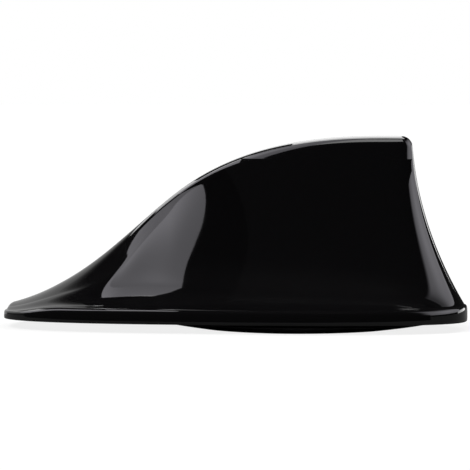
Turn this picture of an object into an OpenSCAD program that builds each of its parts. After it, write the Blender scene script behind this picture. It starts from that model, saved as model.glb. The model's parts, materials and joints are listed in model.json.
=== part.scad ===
// Shark fin roof aerial for a car: a hollow gloss cover over an AM and FM receiving aerial.
// Millimetres. The nose points along -X, the tail along +X and up is +Z.
// The origin is the middle of the part's footprint, at roof level.

/* [Cover] */
// Length of the cover from nose to tail.
cover_length = 168; // [140:1:200]
// Width of the cover at its rim.
cover_width = 66; // [58:1:90]
// Height of the cover above its rim.
cover_height = 66; // [58:0.5:80]
// Wall of the cover around its foot.
cover_wall = 2.4; // [2:0.1:3]
// Wall of the cover in the thin blade.
blade_wall = 1.9; // [1.5:0.1:2.4]
// Height of the lip around the foot of the cover.
lip_height = 5.5; // [4:0.1:7]
// How far the crease above the lip lies inside the rim.
lip_inset = 4; // [2:0.1:6]
// Height of that crease at the very nose.
nose_lip_height = 2.8; // [1.5:0.1:4]
// Place of the widest part, as a share of the length from the nose.
widest_share = 0.411; // [0.3:0.01:0.6]
// Bluntness of the nose in plan, 2 is an ellipse.
nose_power = 2.7; // [2:0.1:4]
// Bluntness of the tail in plan, 2 is an ellipse.
tail_power = 2.8; // [2:0.1:4]
// Half thickness of the blade just under its ridge.
ridge_half = 3.1; // [2.8:0.1:5]
// Half thickness of the blade where it leaves the flare.
blade_half = 10.2; // [8:0.1:14]
// Radius of the corner between ridge and rear edge.
corner_r = 4.1; // [2:0.1:8]

/* [Profile] */
// Height of the nose profile at the tip, as a share of the height.
tip_rise = 0.072; // [0.05:0.001:0.1]
// First handle of the rise, share of the length.
toe_x = 0.178; // [0.1:0.001:0.25]
// First handle of the rise, share of the height.
toe_z = 0.178; // [0.1:0.001:0.25]
// Second handle of the rise, share of the length.
slope_x = 0.272; // [0.2:0.001:0.35]
// Second handle of the rise, share of the height.
slope_z = 0.501; // [0.4:0.001:0.6]
// Steepest point of the rise, share of the length.
knee_x = 0.386; // [0.3:0.001:0.45]
// Steepest point of the rise, share of the height.
knee_z = 0.711; // [0.6:0.001:0.8]
// Handle after the knee, share of the length.
brow_x = 0.552; // [0.5:0.001:0.6]
// Handle after the knee, share of the height.
brow_z = 1.0165; // [0.95:0.0005:1.05]
// Handle before the flat of the ridge, share of the length.
crown_x = 0.752; // [0.7:0.001:0.8]
// Place of the rear edge just under the ridge, share of the length.
rear_top_x = 0.883; // [0.8:0.001:0.95]
// Lean of the rear edge at its top, 0 is upright.
rear_lean = 0.24; // [0:0.01:1]

/* [Seal] */
// Height of the seal below the rim of the cover.
seal_height = 3.2; // [2:0.1:5]
// Length of the seal.
seal_length = 96; // [80:1:110]
// Width of the seal.
seal_width = 58; // [50:1:62]
// Length of the flat contact face under the seal.
contact_length = 70; // [60:1:80]
// Width of the flat contact face under the seal.
contact_width = 54; // [44:1:56]
// How far behind the middle of the cover the seal's centre lies.
seal_shift = 22; // [10:1:26]
// Thickness of the adhesive foam pad.
pad_thick = 1.2; // [0.8:0.1:1.6]

/* [Base] */
// Thickness of the base plate's flange.
base_thick = 2.2; // [1.8:0.1:3]
// Clearance between the base plate and the cover.
base_gap = 0.3; // [0.2:0.05:0.6]
// Distance from the middle of the lead inlet to the rear end of the pad.
inlet_edge = 7; // [6:0.5:9]
// Radius of the bore that the lead runs through.
inlet_r = 2.2; // [1.6:0.1:2.6]
// Radius of the screws that hold the cover.
screw_r = 1.45; // [1.2:0.05:1.6]

/* [Aerial] */
// Length of the amplifier board.
board_length = 62; // [56:1:64]
// Width of the amplifier board.
board_width = 32; // [28:1:34]
// Thickness of the boards.
board_thick = 1.6; // [1:0.1:1.6]
// Height of the foam between the radiator's hat and the cover.
foam_height = 6.55; // [5:0.05:12]
// Turns of the loading coil.
coil_turns = 7; // [4:1:9]

/* [Hidden] */
$fn = 48;
tiny = 0.01;
slip = 0.1;
half_length = cover_length / 2;
half_width = cover_width / 2;
rim_z = seal_height;
top_z = rim_z + cover_height;
nose_x = -half_length;
tail_x = half_length;
mid_x = nose_x + widest_share * cover_length;
rear_x = nose_x + rear_top_x * cover_length;
corner_x = rear_x - corner_r;
corner_z = top_z - corner_r;
crease_z = rim_z + lip_height;
tail_step = 0.9;
tip_round = 2.2;
tip_drop = 1.5;
tip_back = 0.72;
tip_reach = 0.12;
nose_blend = 26;
thin_from = 28;
thin_to = 66.5;
lean_from = 17;
lean_to = 86.5;

// Plan outline: 0 at nose and tail, 1 at the widest part. s runs from nose to tail.
function plan_u(s) = s < widest_share ? 1 - s / widest_share : (s - widest_share) / (1 - widest_share);
function plan_n(s) = s < widest_share ? nose_power : tail_power;
function plan(s) = pow(max(0, 1 - pow(plan_u(s), plan_n(s))), 1 / plan_n(s));
function ease(a, b, v) = let (t = min(1, max(0, (v - a) / (b - a)))) t * t * (3 - 2 * t);
function mix(a, b, t) = a + (b - a) * t;
function closing(s, depth, n, span) =
    let (d = depth / span, u = max(0, (s - 1 + d) / d))
    pow(max(0, 1 - pow(u, n)), 1 / n);

function bez(p, t) =
    pow(1 - t, 3) * p[0] + 3 * pow(1 - t, 2) * t * p[1] + 3 * (1 - t) * t * t * p[2] + pow(t, 3) * p[3];
function bez_run(p, t) =
    pow(1 - t, 2) * (p[1] - p[0]) + 2 * (1 - t) * t * (p[2] - p[1]) + t * t * (p[3] - p[2]);
function at(x_share, z_share) = [nose_x + x_share * cover_length, rim_z + z_share * cover_height];
rise = [at(0, tip_rise), at(toe_x, toe_z), at(slope_x, slope_z), at(knee_x, knee_z)];
brow = [at(knee_x, knee_z), at(brow_x, brow_z), [nose_x + crown_x * cover_length, top_z], [corner_x, top_z]];

// Rear edge of the fin at height z, leaning forward and curving out to the tail.
function rear(z) =
    let (u = max(0, (corner_z - z) / (corner_z - crease_z)), out = tail_x - tail_step - rear_x)
    rear_x + out * (rear_lean * u + (1 - rear_lean) * u * u);

// Stations along the ridge line, each a point and the direction into the fin.
nose_steps = 6;
rise_steps = 9;
brow_steps = 13;
corner_steps = 5;
function inward(p, t) = let (d = bez_run(p, t)) [d[1], -d[0]] / norm(d);
rise_at = concat(
    [for (k = [0:nose_steps - 1]) pow(k / nose_steps, 2.2) / rise_steps],
    [for (k = [1:rise_steps]) k / rise_steps]);
brow_at = [for (k = [1:brow_steps]) 1 - pow(1 - k / brow_steps, 1.25)];
function ridge(off) = concat(
    [for (t = rise_at)
        let (p = bez(rise, t), u = max(0, 1 - (p[0] - nose_x) / tip_round))
        p + off * inward(rise, t) - [0, off > 0 ? 0 : tip_drop * (1 - sqrt(1 - min(1, u * u)))]],
    [for (t = brow_at) bez(brow, t) + off * (t < 1 ? inward(brow, t) : [0, -1])],
    [for (k = [1:corner_steps])
        let (a = 90 * k / corner_steps)
        [corner_x, corner_z] + (corner_r - off) * [sin(a), cos(a)]]);

// Rows of one skin of the cover, from the rim up to the ridge. off is the distance inside the outer face.
lip_rows = [[0, 0.06], [0.07, 0], [0.5, 0.02], [0.74, 0.1], [0.88, 0.26], [0.96, 0.55], [1, 1]];
inner_rows = [[0, 0], [0.8, 0], [1, 1]];
function skin(off, wall_steps, cap_steps) =
    let (
        inside = off > 0,
        line = ridge(off),
        count = len(line),
        front = line[0][0],
        foot_front = nose_x + 1.3 * off,
        nose_back = foot_front + tip_back - front,
        back = tail_x - off,
        s = [for (i = [0:count - 1])
            i == 0 ? 0 : i == count - 1 ? 1
            : min(1, (line[i][0] - front) / (rear(line[i][1]) - off - front))],
        foot = inside ? inner_rows : lip_rows,
        blend = [for (v = s) ease(0, nose_blend, v * cover_length)],
        crease = [for (b = blend) mix(nose_lip_height, lip_height, b) - (inside ? min(0.8 * off, 0.7 + 1.3 * b) : 0)],
        step_in = [for (b = blend) mix(1, lip_inset, b)],
        wide = half_width - off,
        creased = [for (i = [0:count - 1]) (wide - step_in[i]) * plan(s[i])],
        base_x = [for (v = s) nose_x + v * cover_length],
        thin = [for (x = base_x) pow(ease(nose_x + thin_from, nose_x + thin_to, x), 1.2)],
        lean = [for (x = base_x) pow(ease(nose_x + lean_from, nose_x + lean_to, x), 1.5)],
        ridge_w = inside ? ridge_half - blade_wall : ridge_half,
        blade_w = inside ? blade_half - cover_wall : blade_half,
        low = [for (c = crease) rim_z + c],
        cap = [for (i = [0:count - 1]) mix(0.6 * creased[i], ridge_w * closing(s[i], 4.6, 2.4, 148), thin[i])],
        cap_h = [for (i = [0:count - 1])
            mix(0.55 * (line[i][1] - low[i]), inside ? 2 : 3, thin[i])],
        cap_z = [for (i = [0:count - 1]) line[i][1] - cap_h[i]],
        rise_z = [for (i = [0:count - 1]) cap_z[i] - low[i]],
        body = [for (i = [0:count - 1])
            mix(cap[i] + 0.38 * (creased[i] - cap[i]), blade_w * closing(s[i], 12, 2.3, 160), lean[i])],
        p1 = [for (i = [0:count - 1])
            [creased[i] - (creased[i] - body[i]) * mix(0.7, 0.705, lean[i]),
             low[i] + rise_z[i] * mix(0.105, 0.04, lean[i])]],
        p2 = [for (i = [0:count - 1]) [body[i], low[i] + rise_z[i] * mix(0.7, 0.41, lean[i])]],
        p3 = [for (i = [0:count - 1]) [cap[i], cap_z[i]]],
        up = [for (i = [0:count - 1]) (p3[i] - p2[i]) / max(tiny, norm(p3[i] - p2[i]))],
        foot_last = len(foot) - 1
    )
    concat(
        [for (f = foot) [for (i = [0:count - 1])
            let (x0 = foot_front + tip_back * f[1], x1 = back - tail_step * f[1])
            [x0 + s[i] * (x1 - x0), (wide - step_in[i] * f[1]) * plan(s[i]), rim_z + crease[i] * f[0]]]],
        [for (k = [1:wall_steps]) [for (i = [0:count - 1])
            let (q = bez([[creased[i], low[i]], p1[i], p2[i], p3[i]], k / wall_steps))
            over(q, s[i], front, off, nose_back)]],
        [for (k = [1:cap_steps]) [for (i = [0:count - 1])
            let (
                q = bez([p3[i], p3[i] + 0.62 * cap_h[i] * up[i], [0.5 * cap[i], line[i][1]], [0, line[i][1]]],
                    k / cap_steps))
            over(q, s[i], front, off, nose_back)]]);
function over(q, s, front, off, nose_back) =
    let (set_back = nose_back * max(0, 1 - s / tip_reach))
    [front + set_back + s * (rear(q[1]) - off - front), max(0, q[0]), q[1]];

// Points of one skin: a ring of points for every row and a single line for the ridge.
function ring(row) = concat(
    [for (p = row) [p[0], -p[1], p[2]]],
    [for (i = [len(row) - 2:-1:1]) [row[i][0], row[i][1], row[i][2]]]);
function crest(row) = [for (p = row) [p[0], 0, p[2]]];
function skin_points(rows) = concat(
    [for (r = [0:len(rows) - 2]) each ring(rows[r])],
    crest(rows[len(rows) - 1]));
function crest_of(j, n) = j < n ? j : 2 * (n - 1) - j;
function skin_faces(rows, start, out) =
    let (n = len(rows[0]), m = 2 * (n - 1), last = len(rows) - 2)
    concat(
        [for (r = [0:last - 1]) for (j = [0:m - 1])
            let (a = start + r * m + j, b = start + r * m + (j + 1) % m, c = b + m, d = a + m)
            each out ? [[a, c, b], [a, d, c]] : [[a, b, c], [a, c, d]]],
        [for (j = [0:m - 1])
            let (
                a = start + last * m + j,
                b = start + last * m + (j + 1) % m,
                base = start + (last + 1) * m,
                c = base + crest_of((j + 1) % m, n),
                d = base + crest_of(j, n))
            each out ? [[a, c, b], [a, d, c]] : [[a, b, c], [a, c, d]]]);

outer_rows = skin(0, 11, 5);
inside_rows = skin(cover_wall, 6, 3);
stations = len(outer_rows[0]);
ring_size = 2 * (stations - 1);

// Outer and inner faces of the cover, joined round the rim.
module shell() {
    outside = skin_points(outer_rows);
    inside = skin_points(inside_rows);
    start = len(outside);
    rim = [for (j = [0:ring_size - 1])
        let (k = (j + 1) % ring_size)
        each [[j, k, start + k], [j, start + k, start + j]]];
    polyhedron(
        points = concat(outside, inside),
        faces = concat(skin_faces(outer_rows, 0, true), skin_faces(inside_rows, start, false), rim),
        convexity = 8);
}

// Solid body halfway through the wall: it trims the bosses and ribs inside the cover.
module wall_middle() {
    rows = skin(cover_wall / 2, 6, 3);
    polyhedron(
        points = skin_points(rows),
        faces = concat(skin_faces(rows, 0, true), [[for (j = [0:ring_size - 1]) j]]),
        convexity = 6);
}

// Base plate, its screws and the bosses of the cover share these places.
base_z = rim_z + base_thick;
post_h = 1.2;
post_z = base_z + post_h;
post_r = 4;
boss_r = 3.6;
pilot_r = screw_r + slip;
hole_r = screw_r + 0.25;
head_r = 2.8;
head_h = 1.6;
screw_depth = 4.4;
front_screw_x = nose_x + 0.131 * cover_length;
side_screw_x = nose_x + 0.274 * cover_length;
rear_screw_x = tail_x - 0.0714 * cover_length;
side_screw_y = 0.485 * half_width;
rear_screw_y = 0.258 * half_width;
cover_screw_at = [
    [front_screw_x, 0], [side_screw_x, side_screw_y], [side_screw_x, -side_screw_y],
    [rear_screw_x, rear_screw_y], [rear_screw_x, -rear_screw_y]];
board_x = nose_x + 0.3214 * cover_length;
board_end = board_x + board_length;
standoff_h = 2;
board_z = base_z + standoff_h;
board_top = board_z + board_thick;
board_screw_at = [for (x = [board_x + 4, board_end - 4], y = [-1, 1]) [x, y * (board_width / 2 - 4)]];
standoff_r = 2.6;
board_screw_r = 1.1;
sheet = 0.6;
skirt_h = 1;
skirt_front = nose_x + 1.3 * cover_wall + base_gap;
skirt_back = tail_x - cover_wall - base_gap;
skirt_half = half_width - cover_wall - base_gap;

module outer_cover() {
    rib = 1.6;
    reach = 7;
    color([0.02, 0.02, 0.022])
    difference() {
        union() {
            shell();
            intersection() {
                wall_middle();
                union() {
                    for (p = cover_screw_at) {
                        translate([p[0], p[1], post_z])
                        cylinder(r = boss_r, h = cover_height / 2);
                        for (a = [0, 90])
                            hull()
                                for (side = [-1, 1])
                                    translate([p[0] + side * reach * cos(a), p[1] + side * reach * sin(a), post_z + 0.8])
                                    cylinder(r = rib / 2, h = cover_height / 3, $fn = 16);
                    }
                }
            }
        }
        for (p = cover_screw_at)
            translate([p[0], p[1], post_z - tiny])
            cylinder(r = pilot_r, h = screw_depth + 0.3, $fn = 24);
    }
}

function oval(a, b, n, steps) = [for (k = [0:steps - 1])
    let (t = 360 * k / steps, c = cos(t), d = sin(t))
    [a * sign(c) * pow(abs(c), 2 / n), b * sign(d) * pow(abs(d), 2 / n)]];

pad_a = contact_length / 2 - 8;
pad_b = contact_width / 2 - 8;
inlet_x = seal_shift + pad_a - inlet_edge;

// Moulded rubber seal: flat under the middle, thinning out to its edge, with a groove under the rim.
module seal_gasket() {
    groove = 0.8;
    edge_z = rim_z - groove;
    color([0.05, 0.05, 0.055])
    difference() {
        union() {
            translate([seal_shift, 0, 0])
            hull() {
                linear_extrude(tiny)
                polygon(oval(contact_length / 2, contact_width / 2, 1.8, 56));
                translate([0, 0, edge_z - 0.5])
                linear_extrude(0.5)
                polygon(oval(seal_length / 2, seal_width / 2, 2, 56));
            }
            translate([seal_shift, 0, edge_z])
            linear_extrude(groove)
            polygon(oval(seal_length / 2 - 1.8, seal_width / 2 - 1.8, 2, 56));
        }
        translate([seal_shift, 0, -1])
        linear_extrude(rim_z + 2)
        polygon(oval(pad_a + base_gap, pad_b + base_gap, 2, 56));
    }
}

// Outline of the base plate: the plan of the cover, drawn in by the wall and a clearance.
// trim takes more off the front, the back and the sides.
function base_outline(steps, trim) =
    let (
        x0 = skirt_front + trim[0],
        x1 = skirt_back - trim[1],
        s = [for (k = [0:steps]) (1 - cos(180 * k / steps)) / 2],
        side = [for (v = s) [mix(x0, x1, v), (skirt_half - trim[2]) * plan(v)]])
    concat([for (p = side) [p[0], -p[1]]], [for (k = [steps - 1:-1:1]) side[k]]);

grommet_r = 4.2;
grommet_groove_r = 3.4;

module base_plate() {
    color([0.09, 0.09, 0.095])
    difference() {
        union() {
            translate([0, 0, rim_z])
            linear_extrude(skirt_h)
            polygon(base_outline(44, [0, 0, 0]));
            translate([0, 0, rim_z + skirt_h - tiny])
            linear_extrude(base_thick - skirt_h + tiny)
            polygon(base_outline(44, [12, 4, 1]));
            translate([seal_shift, 0, pad_thick])
            linear_extrude(rim_z - pad_thick + tiny)
            polygon(oval(pad_a, pad_b, 2, 56));
            for (p = cover_screw_at)
                translate([p[0], p[1], base_z - tiny])
                cylinder(r = post_r, h = post_h + tiny);
            for (p = board_screw_at)
                translate([p[0], p[1], base_z - tiny])
                cylinder(r = standoff_r, h = standoff_h + tiny);
        }
        for (p = cover_screw_at) {
            translate([p[0], p[1], rim_z - 1])
            cylinder(r = hole_r, h = base_thick + post_h + 2);
            translate([p[0], p[1], rim_z - 1])
            cylinder(r = head_r + 0.3, h = 1 + head_h);
        }
        for (p = board_screw_at)
            translate([p[0], p[1], rim_z + 0.6])
            cylinder(r = board_screw_r + slip, h = base_thick + standoff_h);
        translate([inlet_x, 0, 0])
        cylinder(r = grommet_groove_r + slip, h = base_z + 1);
        // Seat of the grommet's lower flange.
        translate([inlet_x, 0, 0])
        cylinder(r = grommet_r + 0.6, h = pad_thick + 0.9);
    }
}

module adhesive_pad() {
    color([0.13, 0.13, 0.14])
    translate([seal_shift, 0, 0])
    difference() {
        linear_extrude(pad_thick)
        polygon(oval(pad_a, pad_b, 2, 56));
        translate([inlet_x - seal_shift, 0, -1])
        cylinder(r = grommet_r + 0.6, h = pad_thick + 2);
    }
}

// Rubber grommet of the lead inlet, held by a flange on each side of the base plate.
module lead_grommet() {
    low = 0.5;
    under = pad_thick + 0.9 - slip;
    lip = 0.9;
    color([0.04, 0.04, 0.04])
    translate([inlet_x, 0, 0])
    rotate_extrude()
    polygon([
        [inlet_r, low], [grommet_r, low], [grommet_r + 0.4, low + 0.4], [grommet_r + 0.4, under],
        [grommet_groove_r, under], [grommet_groove_r, base_z + slip],
        [grommet_r, base_z + slip], [grommet_r - 0.3, base_z + slip + lip], [inlet_r, base_z + slip + lip]]);
}

module pan_screw(head_radius, head_height, shank_r, shank_h, slot) {
    difference() {
        rotate_extrude()
        polygon([
            [0, -shank_h], [shank_r * 0.5, -shank_h], [shank_r, -shank_h + shank_r * 0.8], [shank_r, 0],
            [head_radius, 0], [head_radius, head_height * 0.55], [head_radius * 0.8, head_height],
            [0, head_height]]);
        for (a = [0, 90])
            rotate([0, 0, a])
            translate([-head_radius * 0.6, -slot / 2, head_height * 0.45])
            cube([head_radius * 1.2, slot, head_height]);
    }
}

module cover_screws() {
    color([0.6, 0.6, 0.62])
    for (p = cover_screw_at)
        translate([p[0], p[1], rim_z + head_h])
        rotate([180, 0, 0])
        pan_screw(head_r, head_h - 0.1, screw_r, base_thick + post_h - head_h + screw_depth, 0.7);
}

// Steel sheet under the amplifier board: the ground side of the aerial.
module ground_plate() {
    inset = 1;
    color([0.72, 0.72, 0.7])
    difference() {
        translate([board_x - inset, -board_width / 2 + inset, base_z])
        cube([board_length + 2 * inset, board_width - 2 * inset, sheet]);
        for (p = board_screw_at)
            translate([p[0], p[1], base_z - 1])
            cylinder(r = standoff_r + 0.2, h = sheet + 2);
    }
}

feed_x = board_x + 18;
feed_pitch = 2.54;
feed_count = 4;
feed_r = 0.32;
rad_thick = 1;
feed_y = -(rad_thick / 2 + feed_r);

module amplifier_board() {
    corner = 2;
    color([0.05, 0.25, 0.12])
    difference() {
        union() {
            translate([board_x + corner, -board_width / 2, board_z])
            cube([board_length - 2 * corner, board_width, board_thick]);
            translate([board_x, -board_width / 2 + corner, board_z])
            cube([board_length, board_width - 2 * corner, board_thick]);
            for (x = [board_x + corner, board_end - corner], y = [-1, 1])
                translate([x, y * (board_width / 2 - corner), board_z])
                cylinder(r = corner, h = board_thick);
        }
        for (p = board_screw_at)
            translate([p[0], p[1], board_z - 1])
            cylinder(r = board_screw_r + 0.2, h = board_thick + 2);
        for (k = [0:feed_count - 1])
            translate([feed_x + k * feed_pitch, feed_y, board_z - 1])
            cylinder(r = feed_r + 0.12, h = board_thick + 2);
    }
}

module board_screws() {
    color([0.75, 0.75, 0.72])
    for (p = board_screw_at)
        translate([p[0], p[1], board_top])
        pan_screw(2.2, 1.3, board_screw_r, board_thick + standoff_h + 1, 0.5);
}

// Sprung contacts from the amplifier board's ground to the ground plate.
module ground_springs() {
    gap = board_z - base_z - sheet;
    thick = 0.2;
    color([0.8, 0.66, 0.35])
    for (y = [-10, 10])
        translate([board_x + 14, y + 1.2, base_z + sheet])
        rotate([90, 0, 0])
        linear_extrude(2.4)
        polygon([
            [0, 0], [5, 0], [8.2, gap - thick], [10, gap - thick], [10, gap], [8.1, gap],
            [4.9, thick], [0, thick]]);
}

// Tinned screening can over the low-noise amplifier.
can_x = board_x + 32;
can_y = 3.4;
can_l = 23;
can_w = 10.4;
can_h = 3.6;
can_wall = 0.3;
module shield_can() {
    color([0.78, 0.79, 0.8])
    translate([can_x, can_y, board_top])
    difference() {
        cube([can_l, can_w, can_h]);
        translate([can_wall, can_wall, -1])
        cube([can_l - 2 * can_wall, can_w - 2 * can_wall, can_h - can_wall + 1]);
        for (k = [0:2], j = [0:1])
            translate([5 + 7 * k, 3.4 + 4.4 * j, can_h - 1])
            cylinder(r = 0.9, h = 2);
    }
}

module chip(l, w, h, legs) {
    pitch = l / legs;
    translate([-l / 2, -w / 2, 0.1])
    cube([l, w, h]);
    for (k = [0:legs - 1], side = [-1, 1])
        translate([-l / 2 + pitch * (k + 0.5) - 0.2, side * (w / 2 + 0.4) - 0.5, 0])
        cube([0.4, 1, 0.5]);
}

module amplifier_chips() {
    color([0.1, 0.1, 0.11])
    translate([0, 0, board_top]) {
        translate([can_x + 7, can_y + can_w / 2, 0])
        chip(5, 4, 1.4, 4);
        translate([can_x + 16.5, can_y + can_w / 2, 0])
        chip(6, 4, 1.4, 5);
        translate([board_x + 50, -9, 0])
        chip(6.4, 5, 1.6, 5);
    }
}

module ceramic_capacitors() {
    color([0.72, 0.6, 0.45])
    for (p = [[22, 7], [22, 11], [27, 8], [42, -5.5], [42, -13], [21, -13]])
        translate([board_x + p[0] - 1.6, p[1] - 0.8, board_top])
        cube([3.2, 1.6, 1.3]);
}

// Two can capacitors on their square seats.
module electrolytic_capacitors() {
    can_r = 3.1;
    color([0.7, 0.71, 0.73])
    for (x = [28, 36])
        translate([board_x + x, 6 - board_width / 2, board_top]) {
            translate([-3.3, -3.3, 0])
            cube([6.6, 6.6, 0.8]);
            translate([0, 0, 0.8 - tiny])
            rotate_extrude()
            polygon([
                [0, 0], [can_r, 0], [can_r, 0.7], [can_r - 0.25, 1], [can_r, 1.3], [can_r, 4.5],
                [can_r - 0.3, 4.8], [0, 4.8]]);
        }
}

module matching_chokes() {
    color([0.45, 0.22, 0.1])
    for (y = [9, -9])
        translate([board_x + 13.5, y, board_top])
        rotate_extrude()
        polygon([
            [0, 0], [2.6, 0], [2.6, 0.6], [1.7, 0.8], [2.1, 1], [1.7, 1.2], [2.1, 1.4], [1.7, 1.6],
            [2.1, 1.8], [1.7, 2], [2.6, 2.2], [2.6, 2.8], [0, 2.8]]);
}

// Coaxial socket for the lead, at the rear edge of the amplifier board.
socket_l = 7;
module signal_socket() {
    body = 6;
    axis_z = board_top + 3;
    color([0.82, 0.68, 0.32])
    difference() {
        union() {
            translate([board_end - socket_l, -7.5, board_top])
            cube([4, body, body]);
            translate([board_end - socket_l + 4 - tiny, -7.5 + body / 2, axis_z])
            rotate([0, 90, 0])
            cylinder(r = 2.3, h = 5);
        }
        translate([board_end - socket_l + 5, -7.5 + body / 2, axis_z])
        rotate([0, 90, 0])
        difference() {
            cylinder(r = 1.7, h = 6);
            translate([0, 0, -1])
            cylinder(r = 0.4, h = 4.4);
        }
    }
}

// Upright board that carries the radiating track inside the blade.
hat_gap = 0.05;
hat_metal = 0.2;
foam_top = top_z - cover_wall - 2.8;
rad_top = foam_top - foam_height - hat_gap - hat_metal;
rad_foot = board_top + 0.2;
bracket_at = [board_x + 33, board_x + 48];
rivet_z = board_top + 7;
// A point of the radiator board, as shares of half the cover's length and of the board's height.
function rad_at(x, z) = [x * half_length, mix(rad_foot, rad_top, z)];
low_corner = [board_end - 4, rad_at(0, 0.267)[1]];
rear_corner = rad_at(0.548, 0.517);
function rad_outline() = [
    [feed_x - 3, rad_foot], [board_end - 6.5, rad_foot], low_corner, rear_corner, rad_at(0.595, 0.683),
    rad_at(0.637, 0.9375), rad_at(0.601, 1), rad_at(0.155, 1), rad_at(0.048, 0.896), rad_at(-0.071, 0.683),
    [feed_x - 3, rad_at(0, 0.496)[1]]];
module radiator_board() {
    color([0.06, 0.28, 0.14])
    difference() {
        translate([0, rad_thick / 2, 0])
        rotate([90, 0, 0])
        linear_extrude(rad_thick)
        polygon(rad_outline());
        for (x = bracket_at)
            translate([x, 0, rivet_z])
            rotate([90, 0, 0])
            cylinder(r = 1.1, h = 4, center = true);
    }
}

// Copper track: a meander up the board, its lower runs ending short of the board's sloping edge.
module radiator_track() {
    foil = 0.12;
    wide = 1.2;
    left = board_x + 32;
    far = 0.476 * half_length;
    edge = 1.6;
    foot = rivet_z - 2.5;
    low = rivet_z + 4;
    high = rad_top - 12;
    runs = 7;
    gap = (high - low) / (runs - 1);
    slope = (rear_corner[0] - low_corner[0]) / (rear_corner[1] - low_corner[1]);
    right = [for (k = [0:runs - 1])
        let (z = low + 2 * floor(k / 2) * gap)
        min(far, low_corner[0] + slope * max(0, z - low_corner[1]) - edge)];
    color([0.72, 0.42, 0.22])
    translate([0, -rad_thick / 2, 0])
    rotate([90, 0, 0])
    linear_extrude(foil)
    union() {
        for (k = [0:runs - 1])
            translate([left, low + k * gap - wide / 2])
            square([right[k] - left, wide]);
        for (k = [0:runs - 2])
            translate([k % 2 == 0 ? right[k] - wide : left, low + k * gap - wide / 2])
            square([wide, gap + wide]);
        translate([right[runs - 1] - wide, high - wide / 2])
        square([wide, 6]);
        translate([feed_x + 1.2, foot])
        square([wide, low - foot + wide / 2]);
        translate([feed_x + 1.2, low - wide / 2])
        square([left - feed_x, wide]);
    }
}

// Folded metal hat that loads the top of the radiator.
hat_x = 0.179 * half_length;
hat_l = 0.405 * half_length;
foam_thick = 1.5;
module top_load_hat() {
    deep = 6;
    color([0.75, 0.76, 0.78])
    difference() {
        translate([hat_x, -rad_thick / 2 - hat_gap - hat_metal, rad_top - deep])
        cube([hat_l, rad_thick + 2 * (hat_gap + hat_metal), deep + hat_gap + hat_metal]);
        translate([hat_x - 1, -rad_thick / 2 - hat_gap, rad_top - deep - 1])
        cube([hat_l + 2, rad_thick + 2 * hat_gap, deep + 1 + hat_gap]);
    }
}

module foam_block() {
    color([0.16, 0.16, 0.17])
    translate([half_length / 3, -foam_thick / 2, foam_top - foam_height])
    cube([half_length / 6, foam_thick, foam_height]);
}

// Plastic brackets that hold the radiator board upright, riveted through it.
module radiator_brackets() {
    cheek = 1.6;
    foot = 4.6;
    tall = 9;
    color([0.85, 0.83, 0.78])
    for (x = bracket_at)
        translate([x - 3, 0, board_top])
        union() {
            for (side = [-1, 1]) {
                translate([0, side > 0 ? rad_thick / 2 : -rad_thick / 2 - cheek, 0])
                cube([6, cheek, tall]);
                translate([0, side > 0 ? rad_thick / 2 : -rad_thick / 2 - foot + 2, 0])
                cube([6, foot - 2, 1.2]);
            }
            translate([3, 0, rivet_z - board_top])
            rotate([90, 0, 0])
            cylinder(r = 1, h = rad_thick + cheek, center = true);
        }
}

module feed_pins() {
    color([0.85, 0.72, 0.4])
    for (k = [0:feed_count - 1])
        translate([feed_x + k * feed_pitch, feed_y, board_z - 0.6])
        cylinder(r = feed_r, h = 6.2, $fn = 24);
}

// Loading coil in front of the radiator board, wound on a moulded former.
coil_x = board_x + 8;
coil_z = board_top;
coil_h = 17;
coil_mean = 3.5;
wire_r = 0.45;
module coil_former() {
    color([0.88, 0.86, 0.8])
    translate([coil_x, 0, coil_z])
    rotate_extrude()
    polygon([
        [0, 0], [4.6, 0], [4.6, 1.2], [coil_mean - wire_r - 0.05, 1.2], [coil_mean - wire_r - 0.05, coil_h - 1.2],
        [4.6, coil_h - 1.2], [4.6, coil_h], [0, coil_h]]);
}

module loading_coil() {
    steps = 18;
    sides = 6;
    total = coil_turns * steps;
    low = coil_z + 1.2 + 2 * wire_r;
    climb = coil_h - 2.4 - 4 * wire_r;
    points = [for (i = [0:total]) for (j = [0:sides - 1])
        let (a = 360 * i / steps, b = 360 * j / sides, r = coil_mean + wire_r * cos(b))
        [r * cos(a), r * sin(a), climb * i / total + wire_r * sin(b)]];
    walls = [for (i = [0:total - 1]) for (j = [0:sides - 1])
        let (k = (j + 1) % sides, p = i * sides, q = p + sides)
        each [[p + j, p + k, q + k], [p + j, q + k, q + j]]];
    ends = [[for (j = [sides - 1:-1:0]) j], [for (j = [0:sides - 1]) total * sides + j]];
    color([0.75, 0.42, 0.2])
    translate([coil_x, 0, low])
    polyhedron(points = points, faces = concat(walls, ends), convexity = 6);
}

outer_cover();
seal_gasket();
base_plate();
adhesive_pad();
lead_grommet();
cover_screws();
ground_plate();
ground_springs();
amplifier_board();
board_screws();
shield_can();
amplifier_chips();
ceramic_capacitors();
electrolytic_capacitors();
matching_chokes();
signal_socket();
radiator_board();
radiator_track();
top_load_hat();
foam_block();
radiator_brackets();
feed_pins();
coil_former();
loading_coil();
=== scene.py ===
"""Shark fin roof aerial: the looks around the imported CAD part. Metres, in the CAD's frame.

The nose points along -X, the tail along +X, +Z is up. The cover and the seal are rebuilt here as
smooth, dense surfaces from the formulas of the CAD source; every other node keeps its CAD shape.
"""
import json
import math

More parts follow.
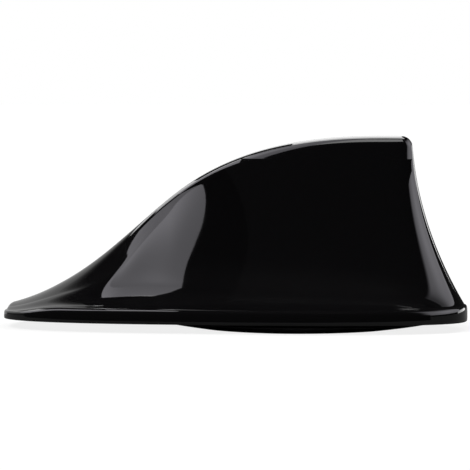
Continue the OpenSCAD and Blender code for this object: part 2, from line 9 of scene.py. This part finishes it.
import bpy
import numpy as np
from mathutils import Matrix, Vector


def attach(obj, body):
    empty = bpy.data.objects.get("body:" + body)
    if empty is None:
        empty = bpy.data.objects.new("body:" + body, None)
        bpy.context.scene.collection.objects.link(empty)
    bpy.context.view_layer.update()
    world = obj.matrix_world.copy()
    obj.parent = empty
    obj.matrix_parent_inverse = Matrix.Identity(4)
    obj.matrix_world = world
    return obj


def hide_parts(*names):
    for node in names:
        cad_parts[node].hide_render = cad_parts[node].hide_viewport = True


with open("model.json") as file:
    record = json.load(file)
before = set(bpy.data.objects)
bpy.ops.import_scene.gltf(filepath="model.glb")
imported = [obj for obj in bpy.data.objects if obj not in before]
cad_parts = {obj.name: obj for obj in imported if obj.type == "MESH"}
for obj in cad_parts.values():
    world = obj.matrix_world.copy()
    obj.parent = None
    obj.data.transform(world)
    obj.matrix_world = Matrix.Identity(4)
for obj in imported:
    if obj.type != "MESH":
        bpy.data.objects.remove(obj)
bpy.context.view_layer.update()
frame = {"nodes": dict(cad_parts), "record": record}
NODES = frame["nodes"]
MM = 0.001

# ---------------------------------------------------------------- sizes of the CAD source, mm
LENGTH, WIDTH, HEIGHT = 168.0, 66.0, 66.0
WALL, BLADE_WALL = 2.4, 1.9
LIP_H, LIP_INSET, NOSE_LIP_H, NOSE_LIP_INSET = 5.5, 4.0, 2.8, 1.0
WIDEST, NOSE_POWER, TAIL_POWER = 0.411, 2.7, 2.8
RIDGE_HALF, BLADE_HALF, CORNER_R = 3.1, 10.2, 4.1
SEAL_H, SEAL_L, SEAL_W = 3.2, 96.0, 58.0
CONTACT_L, CONTACT_W, SEAL_SHIFT = 70.0, 54.0, 22.0
SEAL_GROOVE, SEAL_STEP, PAD_INSET, BASE_GAP = 0.8, 1.8, 8.0, 0.3
NOSE_X, TAIL_X = -LENGTH / 2, LENGTH / 2
RIM_Z, TOP_Z = SEAL_H, SEAL_H + HEIGHT
REAR_X = NOSE_X + 0.883 * LENGTH
REAR_LEAN = 0.24
CORNER_X, CORNER_Z = REAR_X - CORNER_R, TOP_Z - CORNER_R
CREASE_Z = RIM_Z + LIP_H
TAIL_STEP, TIP_ROUND, TIP_DROP, TIP_BACK, TIP_REACH = 0.9, 2.2, 1.5, 0.72, 0.12

# Distances behind the nose over which the section changes, and the powers of those changes.
NOSE_BLEND = 26.0
THIN_FROM, THIN_TO, THIN_POWER = 28.0, 66.5, 1.2
LEAN_FROM, LEAN_TO, LEAN_POWER = 17.0, 86.5, 1.5

# Shares that shape a section. A pair holds the value on the flat nose and the one on the blade.
NOSE_CAP, NOSE_CAP_H, NOSE_BODY = 0.6, 0.55, 0.38
CAP_H, CAP_H_INSIDE = 3.0, 2.0
FLARE_IN, FLARE_UP, WALL_UP = (0.7, 0.705), (0.105, 0.04), (0.7, 0.41)
CAP_SIDE, CAP_TOP = 0.62, 0.5

# The inner skin at the nose: its foot's set-back in walls, and how far its crease drops.
INNER_FOOT_BACK, CREASE_DROP, NOSE_DROP, BLEND_DROP = 1.3, 0.8, 0.7, 1.3

# The lip's rounding: crowding of its rows, powers of its bull nose, and the edge above the seal.
LIP_CROWD, LIP_POWER, LIP_ROOT, RIM_ROUND, RIM_ROUND_H = 0.7, 6, 3, 0.06, 0.07

# How the section closes at the rear edge: depth, power and the span that the depth is a share of.
CAP_CLOSING, BODY_CLOSING = (4.6, 2.4, 148), (12, 2.3, 160)

# Powers that crowd the stations towards the nose and the rear corner.
RISE_CROWD, BROW_CROWD, CORNER_CROWD = 2.2, 1.25, 1.5
RISE_STEPS, BROW_STEPS, CORNER_STEPS = 120, 120, 26


def at(x_share, z_share):
    """Point of the side profile, from shares of the cover's length and height."""
    return np.array([NOSE_X + x_share * LENGTH, RIM_Z + z_share * HEIGHT])


KNEE = at(0.386, 0.711)
RISE = [at(0, 0.072), at(0.178, 0.178), at(0.272, 0.501), KNEE]
BROW = [KNEE, at(0.552, 1.0165), np.array([NOSE_X + 0.752 * LENGTH, TOP_Z]),
        np.array([CORNER_X, TOP_Z])]


# ---------------------------------------------------------------- surface of the cover
def mix(a, b, t):
    return a + (b - a) * t


def ease(a, b, v):
    t = np.clip((v - a) / (b - a), 0, 1)
    return t * t * (3 - 2 * t)


def shares(steps):
    """Even steps above 0, up to 1."""
    return np.arange(1, steps + 1) / steps


def plan(s):
    """Plan outline of the cover: 0 at nose and tail, 1 at the widest part."""
    front = s < WIDEST
    u = np.where(front, 1 - s / WIDEST, (s - WIDEST) / (1 - WIDEST))
    n = np.where(front, NOSE_POWER, TAIL_POWER)
    return np.maximum(0, 1 - u ** n) ** (1 / n)


def closing(s, depth, n, span):
    """1 along the fin, falling to 0 over the last depth before the rear edge."""
    d = depth / span
    u = np.maximum(0, (s - 1 + d) / d)
    return np.maximum(0, 1 - u ** n) ** (1 / n)


def cubic(p, t):
    """Point of a Bezier curve from its four control points."""
    return ((1 - t) ** 3 * p[0] + 3 * (1 - t) ** 2 * t * p[1] + 3 * (1 - t) * t * t * p[2]
            + t ** 3 * p[3])


def bezier(p, t):
    return cubic(p, np.asarray(t, float)[..., None])


def inward(p, t):
    """Unit direction into the fin, square to the curve."""
    t = np.asarray(t, float)[..., None]
    run = (1 - t) ** 2 * (p[1] - p[0]) + 2 * (1 - t) * t * (p[2] - p[1]) + t * t * (p[3] - p[2])
    turned = np.stack([run[..., 1], -run[..., 0]], -1)
    return turned / np.linalg.norm(turned, axis=-1, keepdims=True)


def rear(z):
    """X of the rear edge of the fin at height z."""
    u = np.maximum(0, (CORNER_Z - z) / (CORNER_Z - CREASE_Z))
    return REAR_X + (TAIL_X - TAIL_STEP - REAR_X) * (REAR_LEAN * u + (1 - REAR_LEAN) * u * u)


def ridge(off):
    """Ridge line from the nose to the rear edge, drawn in by off."""
    t = (np.arange(RISE_STEPS + 1) / RISE_STEPS) ** RISE_CROWD
    low = bezier(RISE, t)
    u = np.maximum(0, 1 - (low[:, 0] - NOSE_X) / TIP_ROUND)
    low = low + off * inward(RISE, t)
    if off == 0:
        low[:, 1] -= TIP_DROP * (1 - np.sqrt(1 - np.minimum(1, u * u)))
    t = 1 - (1 - shares(BROW_STEPS)) ** BROW_CROWD
    top = bezier(BROW, t) + off * inward(BROW, t)
    a = math.pi / 2 * (1 - (1 - shares(CORNER_STEPS)) ** CORNER_CROWD)
    turn = np.array([CORNER_X, CORNER_Z]) + (CORNER_R - off) * np.stack([np.sin(a), np.cos(a)], -1)
    return np.concatenate([low, top, turn])


def skin(off, foot, wall_steps, cap_steps):
    """Rows of points on one side of the cover, from the rim up to the ridge: [row, station, xyz].

    off is the distance inside the outer face. foot holds shares of the lip's height and inset.
    """
    inside = off > 0
    line = ridge(off)
    front = line[0, 0]
    foot_front = NOSE_X + INNER_FOOT_BACK * off
    nose_back = foot_front + TIP_BACK - front
    back = TAIL_X - off
    s = np.clip((line[:, 0] - front) / (rear(line[:, 1]) - off - front), 0, 1)
    s[0], s[-1] = 0, 1
    blend = ease(0, NOSE_BLEND, s * LENGTH)
    crease = mix(NOSE_LIP_H, LIP_H, blend)
    if inside:
        crease = crease - np.minimum(CREASE_DROP * off, NOSE_DROP + BLEND_DROP * blend)
    step_in = mix(NOSE_LIP_INSET, LIP_INSET, blend)
    wide = WIDTH / 2 - off
    creased = (wide - step_in) * plan(s)
    base_x = NOSE_X + s * LENGTH
    thin = ease(NOSE_X + THIN_FROM, NOSE_X + THIN_TO, base_x) ** THIN_POWER
    lean = ease(NOSE_X + LEAN_FROM, NOSE_X + LEAN_TO, base_x) ** LEAN_POWER
    ridge_w = RIDGE_HALF - (BLADE_WALL if inside else 0)
    blade_w = BLADE_HALF - (WALL if inside else 0)
    low = RIM_Z + crease
    cap = mix(NOSE_CAP * creased, ridge_w * closing(s, *CAP_CLOSING), thin)
    cap_h = mix(NOSE_CAP_H * (line[:, 1] - low), CAP_H_INSIDE if inside else CAP_H, thin)
    cap_z = line[:, 1] - cap_h
    climb = cap_z - low
    body = mix(cap + NOSE_BODY * (creased - cap), blade_w * closing(s, *BODY_CLOSING), lean)
    p0 = np.stack([creased, low], -1)
    p1 = np.stack([creased - (creased - body) * mix(*FLARE_IN, lean),
                   low + climb * mix(*FLARE_UP, lean)], -1)
    p2 = np.stack([body, low + climb * mix(*WALL_UP, lean)], -1)
    p3 = np.stack([cap, cap_z], -1)
    up = (p3 - p2) / np.maximum(0.01, np.linalg.norm(p3 - p2, axis=-1, keepdims=True))
    q1 = p3 + CAP_SIDE * cap_h[:, None] * up
    q2 = np.stack([CAP_TOP * cap, line[:, 1]], -1)
    q3 = np.stack([0 * cap, line[:, 1]], -1)
    rows = []
    for height, inset in foot:
        x0, x1 = foot_front + TIP_BACK * inset, back - TAIL_STEP * inset
        rows.append(np.stack([x0 + s * (x1 - x0), (wide - step_in * inset) * plan(s),
                              RIM_Z + crease * height], -1))
    for points, steps in (((p0, p1, p2, p3), wall_steps), ((p3, q1, q2, q3), cap_steps)):
        for t in shares(steps):
            q = cubic(points, t)
            set_back = nose_back * np.maximum(0, 1 - s / TIP_REACH)
            x = front + set_back + s * (rear(q[:, 1]) - off - front)
            rows.append(np.stack([x, np.maximum(0, q[:, 0]), q[:, 1]], -1))
    return np.array(rows)


def skin_mesh(rows, start, outward):
    """Points and faces of one skin: a closed ring for every row, and a single line for the ridge.

    The faces count their points from start. The third result is the number of points in a ring.
    """
    n = rows.shape[1]
    m = 2 * (n - 1)
    mirror = np.array([1, -1, 1])
    rings = [np.concatenate([r * mirror, r[n - 2:0:-1]]) for r in rows[:-1]]
    crest = rows[-1] * np.array([1, 0, 1])
    points = np.concatenate(rings + [crest])
    faces = []
    last = len(rows) - 2
    for r in range(last):
        for j in range(m):
            a, b = start + r * m + j, start + r * m + (j + 1) % m
            faces.append((a, b, b + m, a + m) if outward else (a, a + m, b + m, b))
    base = start + (last + 1) * m
    for j in range(m):
        k = (j + 1) % m
        a, b = start + last * m + j, start + last * m + k
        c = base + (k if k < n else 2 * (n - 1) - k)
        d = base + (j if j < n else 2 * (n - 1) - j)
        faces.append((a, b, c, d) if outward else (a, d, c, b))
    return points, faces, m


def lip_profile(steps):
    """Shares of the lip's height and inset, from the rim round its bull nose to the crease."""
    h = np.sin(np.linspace(0, math.pi / 2, steps)) ** LIP_CROWD
    rim_round = RIM_ROUND * np.maximum(0, 1 - h / RIM_ROUND_H) ** 2
    inset = 1 - np.maximum(0, 1 - h ** LIP_POWER) ** (1 / LIP_ROOT) + rim_round
    inset[-1] = 1
    return list(zip(h, inset))


def mesh_piece(name, points, faces, material):
    """A smooth-shaded object from points in millimetres."""
    mesh = bpy.data.meshes.new(name)
    mesh.from_pydata([tuple(p) for p in np.asarray(points) * MM], [], faces)
    mesh.update()
    mesh.polygons.foreach_set("use_smooth", [True] * len(mesh.polygons))
    piece = bpy.data.objects.new(name, mesh)
    bpy.context.scene.collection.objects.link(piece)
    mesh.materials.append(material)
    return piece


# ---------------------------------------------------------------- materials
NOISE_SPAN = (0.3, 0.7)           # the part of 0 to 1 that a noise texture mostly keeps to
RAMP_SPAN = (0.35, 0.65)
ROUGH_SPREAD = 0.08
CLOUD_SIZE = 8                    # size of the soft mottling, in grains
BLACK, DUST = (0.0034, 0.0032, 0.0036), (0.02, 0.02, 0.021)


def new_material(name, color, rough, metallic=0.0):
    mat = bpy.data.materials.new(name)
    mat.use_nodes = True
    shader = mat.node_tree.nodes["Principled BSDF"]
    shader.inputs["Base Color"].default_value = (*color, 1)
    shader.inputs["Roughness"].default_value = rough
    shader.inputs["Metallic"].default_value = metallic
    return mat, mat.node_tree, shader


def add(tree, kind, **values):
    """New node; each value goes to the input of that name, or else to the node's own setting."""
    node = tree.nodes.new(kind)
    for key, value in values.items():
        if key in node.inputs:
            node.inputs[key].default_value = value
        else:
            setattr(node, key, value)
    return node


def texture(tree, kind, scale, **values):
    """A texture in object space, scale in cycles per metre."""
    where = add(tree, "ShaderNodeTexCoord")
    node = add(tree, kind, Scale=scale, **values)
    tree.links.new(where.outputs["Object"], node.inputs["Vector"])
    return node


def spread(tree, source, low, high, start, end):
    """Takes source from start..end to low..high."""
    node = add(tree, "ShaderNodeMapRange")
    for key, value in (("From Min", start), ("From Max", end), ("To Min", low), ("To Max", high)):
        node.inputs[key].default_value = value
    tree.links.new(source, node.inputs["Value"])
    return node.outputs["Result"]


def tint(tree, shader, source, dark, light):
    ramp = add(tree, "ShaderNodeValToRGB")
    for stop, position, color in zip(ramp.color_ramp.elements, RAMP_SPAN, (dark, light)):
        stop.position = position
        stop.color = (*color, 1)
    tree.links.new(source, ramp.inputs["Fac"])
    tree.links.new(ramp.outputs["Color"], shader.inputs["Base Color"])


def bump(tree, shader, height, depth):
    """Relief from a height socket, depth in metres."""
    node = add(tree, "ShaderNodeBump", Strength=1.0, Distance=depth)
    tree.links.new(height, node.inputs["Height"])
    tree.links.new(node.outputs["Normal"], shader.inputs["Normal"])


def grained(name, color, rough, metallic=0.0, *, grain, depth=0.00001, shade=0.25):
    """A moulded, sprayed or rolled surface: soft mottling, uneven gloss and a fine grain."""
    mat, tree, shader = new_material(name, color, rough, metallic)
    cloud = texture(tree, "ShaderNodeTexNoise", grain / CLOUD_SIZE, Detail=4.0)
    fine = texture(tree, "ShaderNodeTexNoise", grain, Detail=3.0)
    dark = [c * (1 - shade) for c in color]
    light = [min(1, c * (1 + shade)) for c in color]
    tint(tree, shader, cloud.outputs["Fac"], dark, light)
    smooth, dull = rough - ROUGH_SPREAD, rough + ROUGH_SPREAD
    uneven = spread(tree, cloud.outputs["Fac"], smooth, dull, *NOISE_SPAN)
    tree.links.new(uneven, shader.inputs["Roughness"])
    bump(tree, shader, fine.outputs["Fac"], depth)
    return mat


def gloss_black():
    """High-gloss black moulding: a trace of orange peel, faint haze and a little fine dust."""
    mat, tree, shader = new_material("gloss_black", BLACK, 0.05)
    shader.inputs["IOR"].default_value = 1.5
    peel = texture(tree, "ShaderNodeTexNoise", 260.0, Detail=2.0)
    haze = texture(tree, "ShaderNodeTexNoise", 28.0, Detail=4.0)
    dust = texture(tree, "ShaderNodeTexVoronoi", 420.0, Randomness=1.0)
    speck = spread(tree, dust.outputs["Distance"], 1.0, 0.0, 0.0, 0.035)
    color = add(tree, "ShaderNodeMix", data_type="RGBA")
    color.inputs["A"].default_value = (*BLACK, 1)
    color.inputs["B"].default_value = (*DUST, 1)
    tree.links.new(speck, color.inputs["Factor"])
    tree.links.new(color.outputs["Result"], shader.inputs["Base Color"])
    hazy = spread(tree, haze.outputs["Fac"], 0.035, 0.065, *NOISE_SPAN)
    tree.links.new(hazy, shader.inputs["Roughness"])
    bump(tree, shader, peel.outputs["Fac"], 0.000002)
    return mat


# Colour, roughness, metallic; then grain in cycles per metre, its depth in metres, and mottling.
FINISHES = {
    "seal_rubber": ((0.011, 0.011, 0.012), 0.55, 0.0, dict(grain=2600.0, depth=0.00002)),
    "base_plastic": ((0.02, 0.02, 0.021), 0.5, 0.0, dict(grain=1800.0, depth=0.00003)),
    "foam_pad": ((0.035, 0.035, 0.037), 0.9, 0.0, dict(grain=1400.0, depth=0.0002, shade=0.5)),
    "screw_steel": ((0.62, 0.62, 0.64), 0.3, 1.0, dict(grain=3000.0)),
    "sheet_steel": ((0.66, 0.66, 0.64), 0.32, 1.0, dict(grain=1200.0, shade=0.1)),
    "contact_metal": ((0.83, 0.62, 0.28), 0.22, 1.0, dict(grain=2500.0, shade=0.08)),
    "board_green": ((0.012, 0.12, 0.045), 0.32, 0.0, dict(grain=1600.0)),
    "chip_black": ((0.015, 0.015, 0.016), 0.55, 0.0, dict(grain=5000.0)),
    "ceramic_tan": ((0.45, 0.31, 0.18), 0.45, 0.0, dict(grain=4000.0, shade=0.12)),
    "can_aluminium": ((0.75, 0.76, 0.78), 0.28, 1.0, dict(grain=2000.0, shade=0.06)),
    "choke_copper": ((0.42, 0.16, 0.06), 0.3, 0.8, dict(grain=3500.0, shade=0.15)),
    "copper": ((0.78, 0.36, 0.18), 0.26, 1.0, dict(grain=2400.0, shade=0.1)),
    "natural_plastic": ((0.72, 0.68, 0.58), 0.45, 0.0, dict(grain=1500.0, shade=0.06)),
}
MATERIALS = {"gloss_black": gloss_black()}
for name, (color, rough, metallic, surface) in FINISHES.items():
    MATERIALS[name] = grained(name, color, rough, metallic, **surface)

# ---------------------------------------------------------------- the cover
LIP_STEPS, WALL_STEPS, CAP_STEPS = 16, 56, 24
INNER_FOOT, INNER_WALL_STEPS, INNER_CAP_STEPS = [(0, 0), (0.8, 0), (1, 1)], 12, 4

outer = skin(0, lip_profile(LIP_STEPS), WALL_STEPS, CAP_STEPS)
inner = skin(WALL, INNER_FOOT, INNER_WALL_STEPS, INNER_CAP_STEPS)
points_out, faces_out, ring = skin_mesh(outer, 0, True)
start = len(points_out)
points_in, faces_in, _ = skin_mesh(inner, start, False)
rim = [(j, start + j, start + (j + 1) % ring, (j + 1) % ring) for j in range(ring)]
cover = mesh_piece("fin_cover", np.concatenate([points_out, points_in]), faces_out + faces_in + rim,
                   MATERIALS["gloss_black"])
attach(cover, "root")
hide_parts("outer_cover")

# ---------------------------------------------------------------- the seal
SEAL_RING, SEAL_ROWS, EDGE_ROWS = 240, 13, 5
EDGE_H, EDGE_INSET = 0.5, 0.35          # the rounded edge at the seal's top
SEAL_STRAIGHT = 0.86                    # share of the seal's side that rises evenly
CONTACT_POWER = 1.8                     # outline of the contact face, 2 is an ellipse


def oval(a, b, n=2):
    """Ring of points on a superellipse of half sizes a and b."""
    t = 2 * math.pi * np.arange(SEAL_RING) / SEAL_RING
    c, d = np.cos(t), np.sin(t)
    return np.stack([a * np.sign(c) * np.abs(c) ** (2 / n),
                     b * np.sign(d) * np.abs(d) ** (2 / n)], -1)


def seal_rows():
    """Sections of the seal, as ([x, y], z): up the outside to the rim, then down the inside."""
    half_l, half_w = SEAL_L / 2, SEAL_W / 2
    edge_z = RIM_Z - SEAL_GROOVE
    low, high = oval(CONTACT_L / 2, CONTACT_W / 2, CONTACT_POWER), oval(half_l, half_w)
    rows = []
    for t in np.linspace(0, 1, SEAL_ROWS):
        rise = SEAL_STRAIGHT * t + (1 - SEAL_STRAIGHT) * t ** 3
        rows.append((mix(low, high, t), (edge_z - EDGE_H) * rise))
    for a in shares(EDGE_ROWS) * math.pi / 2:
        inset = EDGE_INSET * (1 - math.cos(a))
        rows.append((oval(half_l - inset, half_w - inset), edge_z - EDGE_H + EDGE_H * math.sin(a)))
    groove = oval(half_l - SEAL_STEP, half_w - SEAL_STEP)
    opening = oval(CONTACT_L / 2 - PAD_INSET + BASE_GAP, CONTACT_W / 2 - PAD_INSET + BASE_GAP)
    return rows + [(groove, edge_z), (groove, RIM_Z), (opening, RIM_Z), (opening, 0.0)]


sections = seal_rows()
seal_points = np.concatenate([
    np.column_stack([xy[:, 0] + SEAL_SHIFT, xy[:, 1], np.full(len(xy), z)]) for xy, z in sections])
seal_faces = []
for r in range(len(sections)):
    this_row, next_row = r * SEAL_RING, (r + 1) % len(sections) * SEAL_RING
    for j in range(SEAL_RING):
        k = (j + 1) % SEAL_RING
        seal_faces.append((this_row + j, this_row + k, next_row + k, next_row + j))
seal = mesh_piece("roof_seal", seal_points, seal_faces, MATERIALS["seal_rubber"])
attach(seal, "root")
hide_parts("seal_gasket")

# ---------------------------------------------------------------- finishes of the CAD nodes
slots = {row["node"]: row["material_slot"] for row in frame["record"]["subparts"]}
for name, node in NODES.items():
    material = MATERIALS[slots[name]]
    if node.material_slots:
        for holder in node.material_slots:
            holder.material = material
    else:
        node.data.materials.append(material)

# ---------------------------------------------------------------- floor and world
ROOM = 0.02                             # radiance of the studio around the cards
FLOOR_HALF, FLOOR_Z = 40, -0.00005
FLOOR_SHADE, FLOOR_GLOW = 0.2, 0.84     # together white to the camera, outside the shadow


def camera_split(tree, for_camera, for_rest):
    """Shader with one side for what the camera sees directly and one for all other rays."""
    path = add(tree, "ShaderNodeLightPath")
    choose = add(tree, "ShaderNodeMixShader")
    tree.links.new(path.outputs["Is Camera Ray"], choose.inputs["Fac"])
    tree.links.new(for_rest.outputs[0], choose.inputs[1])
    tree.links.new(for_camera.outputs[0], choose.inputs[2])
    return choose


def plain_tree(holder):
    """Empty node tree with its output node."""
    holder.use_nodes = True
    holder.node_tree.nodes.clear()
    is_world = isinstance(holder, bpy.types.World)
    kind = "ShaderNodeOutputWorld" if is_world else "ShaderNodeOutputMaterial"
    return holder.node_tree, add(holder.node_tree, kind)


def stage_piece(name, points, faces, material):
    """An object of the studio, from points in metres."""
    mesh = bpy.data.meshes.new(name)
    mesh.from_pydata([tuple(p) for p in points], [], faces)
    mesh.materials.append(material)
    piece = bpy.data.objects.new(name, mesh)
    bpy.context.scene.collection.objects.link(piece)
    return piece


# Floor: plain grey to every other ray; for the camera, emission lifts it to white round the shadow.
floor_mat = bpy.data.materials.new("floor")
tree, out = plain_tree(floor_mat)
shade = add(tree, "ShaderNodeBsdfDiffuse", Color=(FLOOR_SHADE, FLOOR_SHADE, FLOOR_SHADE, 1))
glow = add(tree, "ShaderNodeEmission", Strength=FLOOR_GLOW)
lifted = add(tree, "ShaderNodeAddShader")
tree.links.new(shade.outputs[0], lifted.inputs[0])
tree.links.new(glow.outputs[0], lifted.inputs[1])
tree.links.new(camera_split(tree, lifted, shade).outputs[0], out.inputs["Surface"])
floor_corners = [(x * FLOOR_HALF, y * FLOOR_HALF, FLOOR_Z)
                 for x, y in ((-1, -1), (1, -1), (1, 1), (-1, 1))]
stage_piece("floor", floor_corners, [(0, 1, 2, 3)], floor_mat)

world = bpy.data.worlds.new("studio")
bpy.context.scene.world = world
tree, out = plain_tree(world)
seen = add(tree, "ShaderNodeBackground", Color=(1, 1, 1, 1))
room = add(tree, "ShaderNodeBackground", Color=(ROOM, ROOM, ROOM, 1))
tree.links.new(camera_split(tree, seen, room).outputs[0], out.inputs["Surface"])

# ---------------------------------------------------------------- cards that reflections see
CENTRE = Vector((0, 0, 0.03))
PLAIN, TINT = (1, 1, 1), (0.95, 0.93, 1.0)
DOME_COLUMNS, DOME_ROWS = 32, 24


def way_to(azimuth, elevation):
    """Unit vector to a direction: azimuth 0 is -Y and 90 is +X, in degrees."""
    a, e = math.radians(azimuth), math.radians(elevation)
    return Vector((math.sin(a) * math.cos(e), -math.cos(a) * math.cos(e), math.sin(e)))


def soft(low, high, value):
    return float(ease(low, high, value))


def glow_material(name, tone):
    """Emission whose strength comes from the card's own attribute."""
    mat = bpy.data.materials.new(name)
    tree, out = plain_tree(mat)
    shine = add(tree, "ShaderNodeEmission", Color=(*tone, 1))
    level = add(tree, "ShaderNodeAttribute", attribute_name="glow")
    tree.links.new(level.outputs["Fac"], shine.inputs["Strength"])
    tree.links.new(shine.outputs[0], out.inputs["Surface"])
    return mat


def studio_card(name, points, faces, glow, tone):
    """A card that only reflections see. glow is the radiance at each point."""
    piece = stage_piece(name, points, faces, glow_material(name, tone))
    layer = piece.data.attributes.new("glow", "FLOAT", "POINT")
    layer.data.foreach_set("value", glow)
    piece.visible_camera = False
    piece.visible_diffuse = False
    piece.visible_shadow = False
    piece.visible_transmission = False


def card(name, columns, rows, place, level, tone=PLAIN):
    """A graded card: place(u, v) gives a point and level(u, v) its radiance."""
    points, glow, faces = [], [], []
    for j in range(rows + 1):
        for i in range(columns + 1):
            u, v = i / columns, j / rows
            points.append(place(u, v))
            glow.append(level(u, v))
    for j in range(rows):
        for i in range(columns):
            k = j * (columns + 1) + i
            faces.append((k, k + 1, k + columns + 2, k + columns + 1))
    studio_card(name, points, faces, glow, tone)


def dome(name, az0, az1, el0, el1, level, radius=1.5, tone=PLAIN):
    """A card that is part of a sphere round the object; level takes azimuth and elevation."""
    card(name, DOME_COLUMNS, DOME_ROWS,
         lambda u, v: CENTRE + radius * way_to(mix(az0, az1, u), mix(el0, el1, v)),
         lambda u, v: level(mix(az0, az1, u), mix(el0, el1, v)), tone)


def sheet(name, corners, level=0.0):
    """A flat sheet near the object, in millimetres: dark or dim, it hides what is behind it."""
    studio_card(name, [Vector(p) * MM for p in corners], [tuple(range(len(corners)))],
                [level] * len(corners), PLAIN)


def level_sheet(name, height, corners, level=0.0):
    sheet(name, [(x, y, height) for x, y in corners], level)


def front_left_level(azimuth, elevation):
    """Brighter towards the nose, evenly dim near the top."""
    return 1.9 + 1.7 * soft(20, 46, -azimuth) * (1 - soft(60, 72, elevation))


def back_level(azimuth, elevation):
    """Radiance of the backdrop, which brightens upward."""
    return 0.5 + 7.5 * soft(8, 62, elevation)


def right_level(azimuth, elevation):
    """A bright core low on the right, which falls off upward and towards the front."""
    core = 1 - soft(0, 34, math.hypot(azimuth - 86, 1.4 * (elevation - 22)))
    return (1.9 + 1.3 * core) * (1 - 0.75 * soft(36, 54, elevation)) * soft(48, 60, azimuth)


def overhead_point(u, v):
    """The overhead box, narrowed above the tail."""
    x = mix(-0.9, 0.44, u)
    return x, mix(-0.04, 0.9 - 0.5 * soft(0.05, 0.18, x), v), 1.25


def low_point(u, v):
    """The dim sheet left of the front one, whose edge it follows."""
    return Vector((mix(-62, -26 - 11 * v ** 1.5, u), mix(-28, -12.5, v), 66.5)) * MM


# Boxes, from and to azimuth, then from and to elevation: they make the highlight on the front of
# the blade, the ridge's bands, and the highlights at the rear edge and the tail.
dome("box_front_left", -92, -15.5, 14, 80, front_left_level, tone=TINT)
dome("box_top_front", -30, 26, 46, 74, lambda a, e: 3.6, radius=1.6)
dome("backdrop", 180, 320, 3, 62, back_level, radius=1.9)
dome("box_right", 48, 126, 4, 56, right_level, tone=TINT)
dome("box_low_right", 116, 156, -3, 9, lambda a, e: 3.2, radius=1.7)
card("box_overhead", 24, 4, overhead_point, lambda u, v: 8.0)

# Sheets over the object, with their height and corners in millimetres: they give the highlight its
# edges, shade the nose and keep the side and the crease black.
level_sheet("sheet_side", 61, [
    (-6, -5.5), (0, -5.5), (3, -1.5), (84, -1.5), (84, -100), (-6, -100)], ROOM)
level_sheet("sheet_front", 66, [
    (-38.5, -8), (-38.5, -10.5), (-29.7, -20.4), (-24.6, -28.5), (-25, -36), (-26, -42),
    (-27.3, -49), (-27.9, -53), (-34, -62), (-60, -110), (2, -110), (2, -8)])
card("sheet_low", 12, 6, low_point, lambda u, v: 3.0 - 1.0 * soft(0.15, 0.5, u), TINT)
level_sheet("sheet_nose", 66, [
    (-110, -30), (-57.5, -30), (-57.5, -13), (-37, -12), (-38.5, -5.5), (-53, -5), (-53, 9),
    (-110, 9)])
card("sheet_nose_back", 4, 12,
     lambda u, v: (mix(-0.15, -0.07, u), mix(0.009, 0.055, v), 0.066),
     lambda u, v: 0.03 + 0.5 * soft(0, 1, v))
level_sheet("sheet_high", 150, [
    (-94, 13), (-60, 8), (-40, 6), (-33, -2), (-5, -5), (-5, 20), (-7, 60), (-40, 90),
    (-62, 110), (-108, 175), (-122, 150), (-106, 110), (-102, 75)])
level_sheet("sheet_tail", 150, [(92, -30), (125, -30), (125, 45), (108, 70), (92, 45)])

# Upright sheets: one before the lip, which thins its highlight, and a dim one behind the nose.
sheet("sheet_lip", [
    (-150, -38, 1), (-50, -40, 1), (-8, -46, 1), (110, -46, 1), (110, -46, 13), (0, -46, 13),
    (-8, -46, 52), (-36, -43, 44), (-50, -40, 31), (-60, -39, 24), (-84, -38, 22),
    (-150, -38, 16)], ROOM)
sheet("sheet_back", [(-150, 45, 0), (-55, 45, 0), (-55, 45, 56), (-150, 45, 100)], 0.55)


# ---------------------------------------------------------------- lamps
def sun(name, azimuth, elevation, power, angle):
    """A distant soft lamp; it lights surfaces and casts the shadow, but no reflection shows it."""
    light = bpy.data.lights.new(name, "SUN")
    light.energy = power
    light.angle = math.radians(angle)
    holder = bpy.data.objects.new(name, light)
    bpy.context.scene.collection.objects.link(holder)
    holder.rotation_euler = (-way_to(azimuth, elevation)).to_track_quat("-Z", "Y").to_euler()
    holder.visible_glossy = False


sun("key", -40, 52, 2.3, 35)
sun("fill", 130, 58, 1.2, 50)

# ---------------------------------------------------------------- camera
CAMERA_AZIMUTH, CAMERA_ELEVATION, CAMERA_DISTANCE = 8.0, 2.803, 1.0
TARGET = Vector((0.000161, 0.0, 0.033316))
way = way_to(CAMERA_AZIMUTH, CAMERA_ELEVATION)
lens = bpy.data.cameras.new("camera")
lens.sensor_width = 36.0
lens.lens = 211.89
camera = bpy.data.objects.new("camera", lens)
bpy.context.scene.collection.objects.link(camera)
camera.location = TARGET + way * CAMERA_DISTANCE
camera.rotation_euler = (-way).to_track_quat("-Z", "Y").to_euler()
bpy.context.scene.camera = camera
bpy.context.scene.view_settings.view_transform = "Standard"
